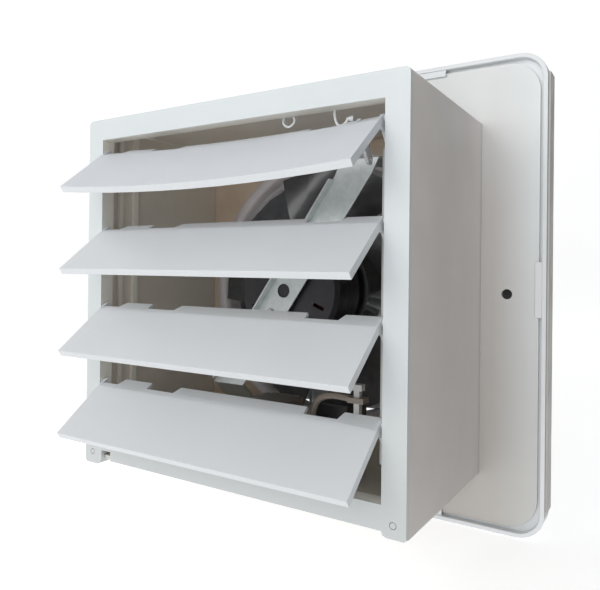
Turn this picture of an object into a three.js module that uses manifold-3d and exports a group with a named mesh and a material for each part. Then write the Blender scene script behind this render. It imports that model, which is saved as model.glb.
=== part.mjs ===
// Wall exhaust fan with a 200 mm impeller and four linked louvres, in millimetres.
// X runs across the fan, +Y points outdoors and +Z is up. The origin is the centre of the
// wall opening, in the plane of the wall, which the back edge of the front cover rests on.
import * as THREE from "three";
import { mergeVertices } from "three/addons/utils/BufferGeometryUtils.js";
import Module from "manifold-3d";

const wasm = await Module();
wasm.setup();

// ---- Clearances ----
const SEAT = 0.3; // between pieces that rest on each other
const RUN = 0.35; // around a pin that turns in its hole
const BITE = 0.5; // how far joined features reach into each other

// ---- Mounting plate and duct, one moulding ----
const PLATE_HALF = 161;
const PLATE_CORNER = 21;
const PLATE_THICK = 2.5;
const PLATE_RECESS = 3; // from the wall plane back to the plate
const PLATE_HOLE_INSET = 20.8; // from the plate's edge to the middle of its screw hole
const PLATE_HOLE_R = 3.5;
const DUCT_HALF = 122.5;
const DUCT_CORNER = 3;
const DUCT_WALL = 2.5;
const DUCT_REACH = 144; // from the plate's back to the louvre frame's face
const SIDE_RIB = [3, 5.5]; // how far the duct's sides reach below it, at the louvres and at the plate
const LEDGE_DROP = 6; // from the plate's back to the shelf inside the duct
const LEDGE_LAP = 1; // how far the shelf under the orifice plate reaches inside the bell's mouth
const GUIDE_PROUD = 3;
const GUIDE_SPANS = [
  [25, 29],
  [40, 45],
]; // guide ribs on the duct's sides, measured back from the louvre frame's face

// ---- Front cover and grille ----
const COVER_GAP = 2.2; // between the plate's edge and the cover's side walls
const COVER_CORNER = 18.5;
const COVER_WALL = 3;
const COVER_SIDE = 18; // straight part of the side wall
const COVER_DEPTH = 55;
const COVER_TAPER = 20.2; // how far the cover's front stands in from its sides
const COVER_WINDOW_HALF = 118;
const COVER_SHOULDER = [2.5, 6]; // inwards and forwards, where the side wall bends in
const COVER_RIB = 1.5; // how far the raised band on each side wall stands out
const COVER_RIB_Y = [-16, -1.5];
const COVER_RIB_Z = [-146, 151];
const COVER_LEDGE = 5;
const COVER_LEDGE_THICK = 3;
const SNAP_INSET = 4.5;
const SNAP_HALF = 14.5;
const SNAP_SIDE = [-15.5, 22.5]; // lower and upper end of the snap on each side wall
const SNAP_TOP_X = 82; // middle of each of the two snaps on the top and bottom walls
const GRILLE_LIP = 4;
const GRILLE_BAR = 6;
const GRILLE_DEPTH = 12;
const GRILLE_FACE = 2.5;
const SLAT_PITCH = 13;
const SLAT_CHORD = 15;
const SLAT_THICK = 2;
const SLAT_TILT = 62; // degrees from level, room edge down
const MULLION_THICK = 2.5;

// ---- Orifice plate ----
const ORIFICE_THICK = 2.5;
const BELL_EDGE = 5; // from the duct's inner wall to the mouth of the bell
const BELL_FLARE = 11.5; // from the mouth of the bell in to its throat
const THROAT_WALL = 2;
const THROAT_LENGTH = 7; // straight part behind the bell
const BELL_STEPS = 4;
const ORIFICE_SIDES = 48;

// ---- Impeller ----
const TIP_GAP = 3.5; // between the throat and the blade tips
const BLADE_COUNT = 5;
const BLADE_THICK = 1.8;
const BLADE_ROOT_DEPTH = 30;
const BLADE_TIP_DEPTH = 22;
const BLADE_SPAN = 71; // degrees round the axis that a blade's tip covers
const BLADE_ROOT_SHARE = 0.68; // the root's span over the tip's
const BLADE_SWEEP = 20; // degrees that the tip trails the root
const BLADE_PHASE = 9; // degrees that the impeller stands turned at rest
const HUB_R = 44;
const HUB_WALL = 2.5;
const HUB_DEPTH = 40;
const HUB_FRONT = -24; // Y of the hub's room side
const BLADE_SET = 16; // from the hub's room side to the middle of its blades
const NUT_R = 7;
const NUT_DEPTH = 6;

// ---- Motor ----
const MOTOR_R = 42;
const MOTOR_WALL = 2;
const MOTOR_FRONT = 23;
const MOTOR_LENGTH = 38;
const SHAFT_R = 4;
const BEARING_R = 8;
const BEARING_WIDTH = 6;
const STATOR_WIDTH = 14;
const STATOR_TEETH = 8;
const ROTOR_R = 17;
const ROTOR_GAP = 0.7;
const WINDING_R = [21, 34]; // inner and outer radius of the end turns
const WINDING_DEPTH = 6;
const VENT_COUNT = 8;

// ---- Strap that carries the motor ----
const STRAP_WIDTH = 23;
const STRAP_THICK = 1.5;
const STRAP_STANDOFF = 3.5; // from the motor's back to the strap
const STRAP_TILT = 124; // degrees from +X to the strap's upper leg
const STRAP_BENDS = [-72, 81]; // heights at which the flat middle ends
const STRAP_LEAN = 20; // degrees that the short upper leg leans outdoors
const STRAP_TOP = 91; // height of the level shelf that runs back from the upper leg
const STRAP_SHIFT = 30; // how far the shelf slants towards -X on its way back
const STRAP_TOE = 9; // lower foot, on the orifice plate
const STRAP_HEEL = 11; // upper foot, on the orifice plate
const STRAP_FLANGE = 8;
const STRAP_HOLE_R = 5;
const MOTOR_SCREW_AT = 20; // along the strap from the axis

// ---- Louvre frame ----
const FLANGE_THICK = 3;
const STILE = 14;
const TOP_RAIL = 15;
const BOTTOM_RAIL = 14;
const RETURN_DEPTH = 11;
const RETURN_WALL = 2;
const LUG_DROP = [4, 3]; // of the lug on the +X side and of the one on the -X side
const LUG_WIDTH = [16.5, 14];
const LUG_DEPTH = [9, 3];
const SKIRT_DEPTH = 9; // of the wall that plugs into the duct's end
const LUG_SLOT = [9, 6.5]; // width and height of the slot beside the lug on the +X side
const FRAME_SCREW_INSET = [7.3, 4.2]; // from the frame's side and bottom edges

// ---- Louvres ----
const LOUVRE_COUNT = 4;
const LOUVRE_PITCH = 55;
const LOUVRE_GAP = 1.5; // between a louvre's end and the frame's return
const LOUVRE_DROP = 10; // from the top of the opening to the first pivot
const PIVOT_INSET = 4; // pivots behind the frame's face
const PIVOT_R = 2;
const BLADE_OFFSET = 3; // blade's outer face from the pivot
const LOUVRE_SKIN = 2;
const LOUVRE_TRAY = 4.5; // depth of the turned-in edges
const LOUVRE_CHORD = 50.8; // pivot to tip
const CREASE = 7; // below the pivot
const LIP_LENGTH = 12.5;
const LIP_BEND = 15; // degrees
const NOTCH_LEVEL = 5; // along the lip from the crease
const LIP_NOTCHES = [
  [39.9, 63.6],
  [-81.4, -60],
  [91.8, 115],
];
const NOTCH_SLOPE = 3;
const BOW = 5; // sag of the first louvre's tip at mid span
const LIP_BOW_SHARE = 0.7; // part of that sag that its lip has too
const OPEN_ANGLE = 53; // degrees from hanging straight down, as photographed

// ---- Linkage and its actuator ----
const CRANK = 24; // arm length of every tab and of the actuator's crank
const DRIVE_TAB_X = -91.5; // second tab, which the first and the last louvre have
const TAB_THICK = 2;
const TAB_HALF_WIDTH = 4;
const ROD_SIZE = [4, 5];
const PEG_R = 1.3;
const ROD_OVERHANG = 6;
const STEM_X = -86;
const STEM_SIZE = [3.5, 4];
const STEM_TOP = -50;
const STEM_CAP = [7, 5, 3.6]; // width, depth, height
const ARM_JOIN_Z = -59; // where the side arm leaves the stem
const ARM_SLEEVE = [10, 8, 3.2]; // width, depth, height
const ARM_R = 2;
const ARM_EYE = 4.4; // width of the arm's eye on the crank's peg
const CRANK_PIN = [-48.5, 108, -92]; // free end of the side arm
const CRANK_THICK = 2.5;
const CRANK_HUB_R = 5;
const CRANK_SHAFT_R = 3;
const CRANK_EYE_R = 4.5;
const ACTUATOR = [28, 24, 26]; // width, depth, height
const BRACKET_THICK = 2;
const BRACKET_WIDTH = 20;
const BRACKET_FOOT = 15;
const CAPACITOR = [26, 30, 49]; // width, depth, height
const CAPACITOR_AT = [-52, 77]; // X and Y of its middle

// ---- Wiring ----
const WIRING_BOX = [34, 20, 50]; // width, depth, height
const WIRING_OUT = 10.5; // from the duct's side to the box's middle
const WIRING_UP = 27.5; // from the duct's underside to the box's middle
const WIRING_WALL = 2;
const GROMMET_R = 5;

// ---- Hooks under the top rail ----
const HOOK_R = 0.8;
const HOOK_PAD = [3, 1.8]; // depth of a pad and how far it stands above the opening
const HOOK_LOOP_X = -41;
const HOOK_LOOP = [8, 5.5]; // width and drop
const HOOK_CLIP_X = -72;
const HOOK_CLIP = [9, 8.5]; // reach and drop

// ---- Screws ----
const SCREW_R = 1.5;
const SCREW_HEAD_R = 3.2;
const SCREW_HEAD = 2;
const FRAME_SCREW_R = 1;
const FRAME_SCREW_HEAD_R = 1.7; // sunk flush with the louvre frame's face
const FRAME_SCREW_SHANK = 9;

// ---- Values worked out from those above ----
const PLATE_Y = -PLATE_RECESS;
const PLATE_FRONT = PLATE_Y - PLATE_THICK;
const LEDGE_Y = PLATE_Y - LEDGE_DROP;
const LEDGE_FRONT = LEDGE_Y - PLATE_THICK;
const FACE_Y = PLATE_Y + DUCT_REACH;
const DUCT_INNER = DUCT_HALF - DUCT_WALL;
const PLATE_HOLE_X = PLATE_HALF - PLATE_HOLE_INSET;
const COVER_HALF = PLATE_HALF + COVER_GAP + COVER_WALL;
const COVER_FRONT_HALF = COVER_HALF - COVER_TAPER;
const BELL_R = DUCT_INNER - BELL_EDGE;
const THROAT_R = BELL_R - BELL_FLARE;
const BLADE_R = THROAT_R - TIP_GAP;
const WIRING_AT = [DUCT_HALF + WIRING_OUT, -DUCT_HALF + WIRING_UP];
const OPENING_X = DUCT_HALF - STILE;
const OPENING_TOP = DUCT_HALF - TOP_RAIL;
const OPENING_BOTTOM = -DUCT_HALF + BOTTOM_RAIL;
const PIVOT_Y = FACE_Y - PIVOT_INSET;
const LOUVRE_HALF = OPENING_X - LOUVRE_GAP;
const TAB_X = -LOUVRE_HALF + TAB_THICK / 2;
const ROD_X = TAB_X + (TAB_THICK + ROD_SIZE[0]) / 2 + RUN;
const ORIFICE_Y = LEDGE_Y + SEAT;
const ORIFICE_BACK = ORIFICE_Y + ORIFICE_THICK;
const MOTOR_BACK = MOTOR_FRONT + MOTOR_LENGTH;
const MOTOR_MID = MOTOR_FRONT + MOTOR_LENGTH / 2;
const STRAP_Y = MOTOR_BACK + STRAP_STANDOFF;
const STRAP_BACK = STRAP_Y + STRAP_THICK;
const SCREW_HOLE_R = SCREW_R + SEAT;
const PEG_HOLE_R = PEG_R + RUN;
const OPEN = THREE.MathUtils.degToRad(OPEN_ANGLE);
const pivotZ = (k) => OPENING_TOP - LOUVRE_DROP - k * LOUVRE_PITCH;

// ---- Materials ----
const paint = (color, roughness, metalness = 0) =>
  new THREE.MeshStandardMaterial({ color, roughness, metalness });
const WHITE = paint(0xdfe3e4, 0.42);
const LOUVRE_WHITE = paint(0xd2d5d9, 0.4);
const ROD_GREY = paint(0xb9bcbd, 0.5);
const BEIGE = paint(0x9c8f82, 0.5);
const BROWN = paint(0x6f665d, 0.55);
const BLACK = paint(0x26242a, 0.45);
const BLADE_GREY = paint(0x4a4d52, 0.35);
const ZINC = paint(0x98a1a3, 0.38, 1);
const STEEL = paint(0xb4b7ba, 0.3, 1);
const LAMINATION = paint(0x6d7074, 0.5, 1);
const COPPER = paint(0xb06a3c, 0.4, 1);
const RUBBER = paint(0x1d1d1f, 0.8);

// ---- Solids ----
function manifoldOf(geometry) {
  const bare = geometry.clone();
  bare.deleteAttribute("normal");
  bare.deleteAttribute("uv");
  const merged = mergeVertices(bare, 1e-4);
  const triVerts = new Uint32Array(merged.index.array);
  const mesh = (turned) =>
    new wasm.Mesh({
      numProp: 3,
      vertProperties: merged.attributes.position.array,
      triVerts: turned,
    });
  const made = new wasm.Manifold(mesh(triVerts));
  return made.volume() > 0 ? made : new wasm.Manifold(mesh(triVerts.toReversed()));
}

function geometryOf(solid) {
  const { vertProperties, triVerts } = solid.getMesh();
  return new THREE.BufferGeometry()
    .setAttribute("position", new THREE.BufferAttribute(vertProperties, 3))
    .setIndex(new THREE.BufferAttribute(triVerts, 1));
}

const join = (first, ...others) =>
  geometryOf(others.reduce((sum, g) => sum.add(manifoldOf(g)), manifoldOf(first)));

const cut = (first, ...tools) =>
  geometryOf(tools.reduce((left, g) => left.subtract(manifoldOf(g)), manifoldOf(first)));

const inside = (first, other) => geometryOf(manifoldOf(first).intersect(manifoldOf(other)));

function box([x0, x1], [y0, y1], [z0, z1]) {
  return new THREE.BoxGeometry(x1 - x0, y1 - y0, z1 - z0).translate(
    (x0 + x1) / 2,
    (y0 + y1) / 2,
    (z0 + z1) / 2,
  );
}

const around = (middle, width) => [middle - width / 2, middle + width / 2];

// A cylinder along Y from y0 to y1, centred on (x, z).
const pinY = (r, [y0, y1], [x, z] = [0, 0], sides = 20) =>
  new THREE.CylinderGeometry(r, r, y1 - y0, sides).translate(x, (y0 + y1) / 2, z);

// A cylinder along X from x0 to x1, centred on (y, z).
const pinX = (r, [x0, x1], [y, z], sides = 10) =>
  new THREE.CylinderGeometry(r, r, x1 - x0, sides)
    .rotateZ(-Math.PI / 2)
    .translate((x0 + x1) / 2, y, z);

// A cylinder along Z from z0 to z1, centred on (x, y).
const pinZ = (r, [z0, z1], [x, y], sides = 8) =>
  new THREE.CylinderGeometry(r, r, z1 - z0, sides)
    .rotateX(Math.PI / 2)
    .translate(x, y, (z0 + z1) / 2);

// A closed outline of [radius, y] points turned about the Y axis.
const turned = (points, sides = 30) =>
  new THREE.LatheGeometry(
    [...points, points[0]].map(([r, y]) => new THREE.Vector2(r, y)),
    sides,
  );

const shapeOf = (points) => new THREE.Shape(points.map(([a, b]) => new THREE.Vector2(a, b)));

// An outline of [y, z] points drawn along X from x0 to x1.
const drawnX = (points, [x0, x1], steps = 1) =>
  new THREE.ExtrudeGeometry(shapeOf(points), { depth: x1 - x0, steps, bevelEnabled: false })
    .applyMatrix4(new THREE.Matrix4().set(0, 0, 1, x0, 1, 0, 0, 0, 0, 1, 0, 0, 0, 0, 0, 1));

// An outline of [x, z] points, less any holes, drawn along Y from y0 to y1.
function drawnY(points, [y0, y1], holes = []) {
  const shape = shapeOf(points);
  shape.holes = holes.map(shapeOf);
  return new THREE.ExtrudeGeometry(shape, { depth: y1 - y0, bevelEnabled: false })
    .rotateX(Math.PI / 2)
    .translate(0, y1, 0);
}

// The four rounded corners of a square, anticlockwise, as [x, z] points.
function roundedSquare(half, radius, steps = 6) {
  const points = [];
  for (let corner = 0; corner < 4; corner++) {
    for (let i = 0; i <= steps; i++) {
      const angle = ((corner + i / steps) * Math.PI) / 2;
      const side = Math.PI / 4 + (corner * Math.PI) / 2;
      const reach = (half - radius) * Math.SQRT2;
      points.push([
        reach * Math.cos(side) + radius * Math.cos(angle),
        reach * Math.sin(side) + radius * Math.sin(angle),
      ]);
    }
  }
  return points;
}

// A closed outline of [half, corner radius, y] points swept round a rounded square.
function squareSweep(outline, steps = 6) {
  const rings = outline.map(([half, radius, y]) =>
    roundedSquare(half, radius, steps).map(([x, z]) => [x, y, z]),
  );
  const sides = rings[0].length;
  const index = [];
  for (let i = 0; i < rings.length; i++) {
    const next = (i + 1) % rings.length;
    for (let j = 0; j < sides; j++) {
      const k = (j + 1) % sides;
      index.push(i * sides + j, next * sides + j, next * sides + k);
      index.push(i * sides + j, next * sides + k, i * sides + k);
    }
  }
  return new THREE.BufferGeometry()
    .setAttribute("position", new THREE.Float32BufferAttribute(rings.flat(2), 3))
    .setIndex(index);
}

// A screw whose head lies on y = seat, with its shank running down to y = seat - length.
const screwY = (length, head = SCREW_HEAD_R, shank = SCREW_R) =>
  join(
    pinY(head, [0, SCREW_HEAD], [0, 0], 12),
    pinY(shank, [-length, BITE], [0, 0], 8),
  );

const part = new THREE.Group();
part.name = "wall_exhaust_fan";

function add(name, geometry, material, parent = part) {
  const mesh = new THREE.Mesh(geometry, material);
  mesh.name = name;
  parent.add(mesh);
  return mesh;
}

// ---- Housing ----
const frameScrews = [1, -1].map((side) => [
  side * (DUCT_HALF - FRAME_SCREW_INSET[0]),
  -DUCT_HALF + FRAME_SCREW_INSET[1],
]);
const DUCT_END = FACE_Y - FLANGE_THICK - SEAT;
const BOSS_HALF = 4;
const BOSS_LENGTH = 14;

// The side walls reach a little below the duct, more so towards the plate.
function sideRib(side, end) {
  const outline = [
    [PLATE_Y - BITE, -DUCT_HALF + DUCT_CORNER + 1],
    [PLATE_Y - BITE, -DUCT_HALF - SIDE_RIB[1]],
    [end, -DUCT_HALF - SIDE_RIB[0]],
    [end, -DUCT_HALF + DUCT_CORNER + 1],
  ];
  return drawnX(outline, side > 0 ? [DUCT_INNER, DUCT_HALF] : [-DUCT_HALF, -DUCT_INNER]);
}

function bodyFrame() {
  const plate = drawnY(roundedSquare(PLATE_HALF, PLATE_CORNER, 8), [PLATE_FRONT, PLATE_Y], [
    roundedSquare(DUCT_INNER, 1, 2),
  ]);
  const shelf = drawnY(roundedSquare(DUCT_HALF, DUCT_CORNER, 3), [LEDGE_FRONT, LEDGE_Y], [
    roundedSquare(BELL_R - LEDGE_LAP, DUCT_CORNER, 2),
  ]);
  const duct = drawnY(roundedSquare(DUCT_HALF, DUCT_CORNER, 3), [LEDGE_Y - BITE, DUCT_END], [
    roundedSquare(DUCT_INNER, 1, 2),
  ]);
  const ribs = [sideRib(1, FACE_Y - LUG_DEPTH[0] - SEAT), sideRib(-1, DUCT_END)];
  const full = [-DUCT_INNER - BITE, DUCT_INNER + BITE];
  const guides = GUIDE_SPANS.flatMap(([near, far]) => {
    const span = [FACE_Y - far, FACE_Y - near];
    return [
      box([DUCT_INNER - GUIDE_PROUD, DUCT_INNER + BITE], span, full),
      box([-DUCT_INNER - BITE, -DUCT_INNER + GUIDE_PROUD], span, full),
    ];
  });
  const bosses = frameScrews.map(([x, z]) =>
    box(
      around(x, 2 * BOSS_HALF),
      [DUCT_END - BOSS_LENGTH, DUCT_END],
      [-DUCT_INNER - BITE, z + BOSS_HALF],
    ),
  );
  const holes = [
    ...[1, -1].map((side) =>
      pinY(PLATE_HOLE_R, [PLATE_FRONT - 1, PLATE_Y + 1], [side * PLATE_HOLE_X, 0]),
    ),
    pinY(GROMMET_R, [PLATE_FRONT - 1, PLATE_Y + 1], WIRING_AT),
    ...frameScrews.map((at) =>
      pinY(FRAME_SCREW_R + SEAT, [DUCT_END - BOSS_LENGTH + 2, DUCT_END + 1], at, 8),
    ),
    ...cornerScrews.map((at) => pinY(SCREW_HOLE_R, [LEDGE_FRONT - 1, LEDGE_Y + 1], at, 8)),
    ...bracketScrews.map((at) =>
      pinZ(SCREW_HOLE_R, [-DUCT_HALF - 1, -DUCT_INNER + 1], at, 8),
    ),
  ];
  return cut(join(plate, shelf, duct, ...ribs, ...guides, ...bosses), ...holes);
}

// ---- Louvre frame ----
function openingRim(grow) {
  return [
    [OPENING_X + grow, OPENING_BOTTOM - grow],
    [OPENING_X + grow, OPENING_TOP + grow],
    [-OPENING_X - grow, OPENING_TOP + grow],
    [-OPENING_X - grow, OPENING_BOTTOM - grow],
  ];
}

function lug(side, width, drop, depth) {
  const outer = side * DUCT_HALF;
  const inner = side * (DUCT_HALF - width);
  const bottom = -DUCT_HALF - drop;
  const round = drop / 2;
  const points = [
    [outer, -DUCT_HALF + DUCT_CORNER + 1],
    [outer, bottom + round],
    [outer - side * round * 0.3, bottom + round * 0.3],
    [outer - side * round, bottom],
    [inner + side * round * 2, bottom],
    [inner + side * round * 0.6, bottom + round * 0.6],
    [inner, bottom + round * 2],
    [inner, -DUCT_HALF + DUCT_CORNER + 1],
  ];
  return drawnY(points, [FACE_Y - depth, FACE_Y]);
}

function shutterFrame() {
  const flange = drawnY(
    roundedSquare(DUCT_HALF, DUCT_CORNER, 3),
    [FACE_Y - FLANGE_THICK, FACE_Y],
    [openingRim(0)],
  );
  const inwall = drawnY(
    openingRim(RETURN_WALL),
    [FACE_Y - RETURN_DEPTH, FACE_Y - FLANGE_THICK + BITE],
    [openingRim(0)],
  );
  const lugs = [
    lug(1, LUG_WIDTH[0], LUG_DROP[0], LUG_DEPTH[0]),
    lug(-1, LUG_WIDTH[1], LUG_DROP[1], LUG_DEPTH[1]),
  ];
  const skirtOuter = DUCT_INNER - SEAT;
  const skirt = drawnY(
    roundedSquare(skirtOuter, 1, 2),
    [FACE_Y - SKIRT_DEPTH, FACE_Y - FLANGE_THICK + BITE],
    [roundedSquare(skirtOuter - RETURN_WALL, 1, 2)],
  );
  const ductSeat = drawnY(
    roundedSquare(DUCT_HALF + SEAT, DUCT_CORNER, 3),
    [FACE_Y - SKIRT_DEPTH - 1, DUCT_END + SEAT],
    [roundedSquare(skirtOuter, 1, 2)],
  );
  const bossRoom = frameScrews.map(([x, z]) =>
    box(
      around(x, 2 * (BOSS_HALF + SEAT)),
      [FACE_Y - SKIRT_DEPTH - 1, DUCT_END + SEAT],
      [-DUCT_HALF, z + BOSS_HALF + SEAT],
    ),
  );
  const pivotHoles = louvreIndices.flatMap((k) =>
    [1, -1].map((side) =>
      pinX(
        PIVOT_R + RUN,
        side > 0 ? [OPENING_X - 1, OPENING_X + 4] : [-OPENING_X - 4, -OPENING_X + 1],
        [PIVOT_Y, pivotZ(k)],
      ),
    ),
  );
  const screwHoles = frameScrews.flatMap((at) => [
    pinY(FRAME_SCREW_R + SEAT, [FACE_Y - FLANGE_THICK - 1, FACE_Y + 1], at, 8),
    pinY(FRAME_SCREW_HEAD_R + SEAT, [FACE_Y - SCREW_HEAD - SEAT, FACE_Y + 1], at, 16),
  ]);
  const slotStart = DUCT_HALF - LUG_WIDTH[0];
  const lugSlot = box(
    [slotStart - LUG_SLOT[0], slotStart],
    [FACE_Y - SKIRT_DEPTH - 1, FACE_Y + 1],
    [-DUCT_HALF - 1, -DUCT_HALF + LUG_SLOT[1]],
  );
  const body = cut(join(flange, inwall, skirt, ...lugs), ductSeat, lugSlot, ...bossRoom);
  return cut(body, ...pivotHoles, ...screwHoles);
}

// ---- Louvres ----
const louvreIndices = [...Array(LOUVRE_COUNT).keys()];

// The louvre's section as [outward, up] points from its pivot, with the blade hanging down.
function louvreSection() {
  const bend = THREE.MathUtils.degToRad(LIP_BEND);
  const outer = BLADE_OFFSET;
  const inner = BLADE_OFFSET - LOUVRE_SKIN;
  const back = BLADE_OFFSET - LOUVRE_TRAY;
  const lip = [-Math.sin(bend) * LIP_LENGTH, Math.cos(bend) * LIP_LENGTH];
  return [
    [outer + lip[0], -CREASE + lip[1]],
    [outer + lip[0] - LOUVRE_SKIN * Math.cos(bend), -CREASE + lip[1] - LOUVRE_SKIN * Math.sin(bend)],
    [inner, -CREASE - 0.3],
    [inner, -LOUVRE_CHORD + LOUVRE_SKIN],
    [back, -LOUVRE_CHORD + LOUVRE_SKIN],
    [back, -LOUVRE_CHORD],
    [outer, -LOUVRE_CHORD],
    [outer, -CREASE],
  ];
}

// Lets the blade sag between its ends, more and more towards the tip.
function bowed(geometry, sag) {
  const at = geometry.getAttribute("position");
  for (let i = 0; i < at.count; i++) {
    const along = 1 - (at.getX(i) / LOUVRE_HALF) ** 2;
    const down = THREE.MathUtils.clamp((-CREASE - at.getZ(i)) / (LOUVRE_CHORD - CREASE), 0, 1);
    at.setY(i, at.getY(i) - sag * along * (LIP_BOW_SHARE + (1 - LIP_BOW_SHARE) * down));
  }
  return geometry;
}

// An arm that reaches inwards from the pivot and takes a peg at its end.
const louvreTab = (x) =>
  drawnX(
    [
      [BLADE_OFFSET - LOUVRE_SKIN / 2, -2.5 * TAB_HALF_WIDTH],
      [BLADE_OFFSET - LOUVRE_SKIN / 2 - 1, TAB_HALF_WIDTH * 0.4],
      [-PIVOT_R, TAB_HALF_WIDTH * 0.7],
      [-CRANK, TAB_HALF_WIDTH * 0.8],
      [-CRANK - TAB_HALF_WIDTH * 0.8, 0],
      [-CRANK, -TAB_HALF_WIDTH * 0.8],
      [-PIVOT_R - 4, -TAB_HALF_WIDTH],
    ],
    around(x, TAB_THICK),
  );

function louvre(sag, tabsAt) {
  const blade = drawnX(louvreSection(), [-LOUVRE_HALF, LOUVRE_HALF], sag ? 10 : 1);
  const notches = LIP_NOTCHES.map(([x0, x1]) =>
    drawnY(
      [
        [x0, NOTCH_LEVEL - CREASE],
        [x1, NOTCH_LEVEL - CREASE],
        [x1 + NOTCH_SLOPE, LIP_LENGTH],
        [x0 - NOTCH_SLOPE, LIP_LENGTH],
      ],
      [-2 * LOUVRE_TRAY, 2 * LOUVRE_TRAY],
    ),
  );
  const ends = [1, -1].map((side) =>
    drawnX(
      [
        [BLADE_OFFSET - 0.2, -LOUVRE_CHORD + 0.2],
        [BLADE_OFFSET - 0.2, -CREASE],
        [PIVOT_R + 0.6, 0],
        [PIVOT_R * 0.8, PIVOT_R + 0.4],
        [-PIVOT_R * 0.8, PIVOT_R + 0.4],
        [-PIVOT_R - 0.6, 0],
        [BLADE_OFFSET - LOUVRE_TRAY, -CREASE],
        [BLADE_OFFSET - LOUVRE_TRAY, -LOUVRE_CHORD + 0.2],
      ],
      side > 0 ? [LOUVRE_HALF - LOUVRE_SKIN, LOUVRE_HALF] : [-LOUVRE_HALF, -LOUVRE_HALF + LOUVRE_SKIN],
    ),
  );
  const pins = [1, -1].map((side) =>
    pinX(
      PIVOT_R,
      side > 0
        ? [LOUVRE_HALF - BITE, OPENING_X + RETURN_WALL]
        : [-OPENING_X - RETURN_WALL, -LOUVRE_HALF + BITE],
      [0, 0],
    ),
  );
  const pegHoles = tabsAt.map((x) => pinX(PEG_HOLE_R, around(x, 3 * TAB_THICK), [-CRANK, 0]));
  const skin = cut(sag ? bowed(blade, sag) : blade, ...notches);
  return cut(join(skin, ...ends, ...pins, ...tabsAt.map(louvreTab)), ...pegHoles);
}

function addLouvres() {
  for (const k of louvreIndices) {
    const hinge = new THREE.Group();
    hinge.position.set(0, PIVOT_Y, pivotZ(k));
    hinge.rotation.x = OPEN;
    part.add(hinge);
    const isEnd = k === 0 || k === LOUVRE_COUNT - 1;
    const tabsAt = isEnd ? [TAB_X, DRIVE_TAB_X] : [TAB_X];
    add(`louvre_${k + 1}`, louvre(k === 0 ? BOW : 0, tabsAt), LOUVRE_WHITE, hinge);
  }
}

// ---- Linkage ----
// From a louvre's pivot to its peg, in the photographed pose, as [y, z].
const ARM_OFFSET = [-CRANK * Math.cos(OPEN), -CRANK * Math.sin(OPEN)];
const ROD_Y = PIVOT_Y + ARM_OFFSET[0];
const pegZ = (k) => pivotZ(k) + ARM_OFFSET[1];

const PEG_HEAD = 0.6; // how far a peg sticks out of its tab
const lastPegZ = pegZ(LOUVRE_COUNT - 1);

// The rod that keeps the four louvres parallel.
function linkRod() {
  const rod = box(
    around(ROD_X, ROD_SIZE[0]),
    around(ROD_Y, ROD_SIZE[1]),
    [lastPegZ - ROD_OVERHANG, pegZ(0) + ROD_OVERHANG],
  );
  const pegs = louvreIndices.map((k) =>
    pinX(PEG_R, [TAB_X - TAB_THICK / 2 - PEG_HEAD, ROD_X], [ROD_Y, pegZ(k)], 12),
  );
  return join(rod, ...pegs);
}

// The short stem that stands on the last louvre's second tab.
function driveStem() {
  const stem = box(
    around(STEM_X, STEM_SIZE[0]),
    around(ROD_Y, STEM_SIZE[1]),
    [lastPegZ - ROD_OVERHANG, STEM_TOP - BITE],
  );
  const cap = box(
    around(STEM_X, STEM_CAP[0]),
    around(ROD_Y, STEM_CAP[1]),
    [STEM_TOP - STEM_CAP[2], STEM_TOP],
  );
  const peg = pinX(
    PEG_R,
    [DRIVE_TAB_X - TAB_THICK / 2 - PEG_HEAD, STEM_X],
    [ROD_Y, lastPegZ],
    12,
  );
  return join(stem, cap, peg);
}

// The side arm, clipped round the stem and bent down to the crank behind the last louvre.
function linkArm() {
  const sleeve = box(
    around(STEM_X, ARM_SLEEVE[0]),
    around(ROD_Y, ARM_SLEEVE[1]),
    around(ARM_JOIN_Z, ARM_SLEEVE[2]),
  );
  const slot = box(
    around(STEM_X, STEM_SIZE[0] + 2 * SEAT),
    around(ROD_Y, STEM_SIZE[1] + 2 * SEAT),
    around(ARM_JOIN_Z, 3 * ARM_SLEEVE[2]),
  );
  const [pinAtX, pinAtY, pinAtZ] = CRANK_PIN;
  const start = new THREE.Vector3(STEM_X + ARM_SLEEVE[0] / 2 - BITE, ROD_Y, ARM_JOIN_Z);
  const end = new THREE.Vector3(pinAtX, pinAtY, pinAtZ + ARM_R);
  const route = new THREE.CubicBezierCurve3(
    start,
    new THREE.Vector3(start.x + 22, start.y - 2, start.z + 2),
    new THREE.Vector3(end.x, end.y + 3, end.z + 27),
    end,
  );
  const section = new THREE.Shape().absarc(0, 0, ARM_R, 0, 2 * Math.PI);
  const arm = new THREE.ExtrudeGeometry(section, {
    steps: 12,
    curveSegments: 4,
    extrudePath: route,
  });
  const eyeEnd = pinAtX + ARM_EYE / 2;
  const eye = pinX(ARM_R + 1.2, [pinAtX - ARM_EYE / 2, eyeEnd], [pinAtY, pinAtZ]);
  const peg = pinX(PEG_R, [pinAtX, eyeEnd + SEAT + CRANK_THICK + PEG_HEAD], [pinAtY, pinAtZ], 12);
  return join(cut(sleeve, slot), arm, eye, peg);
}

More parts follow.
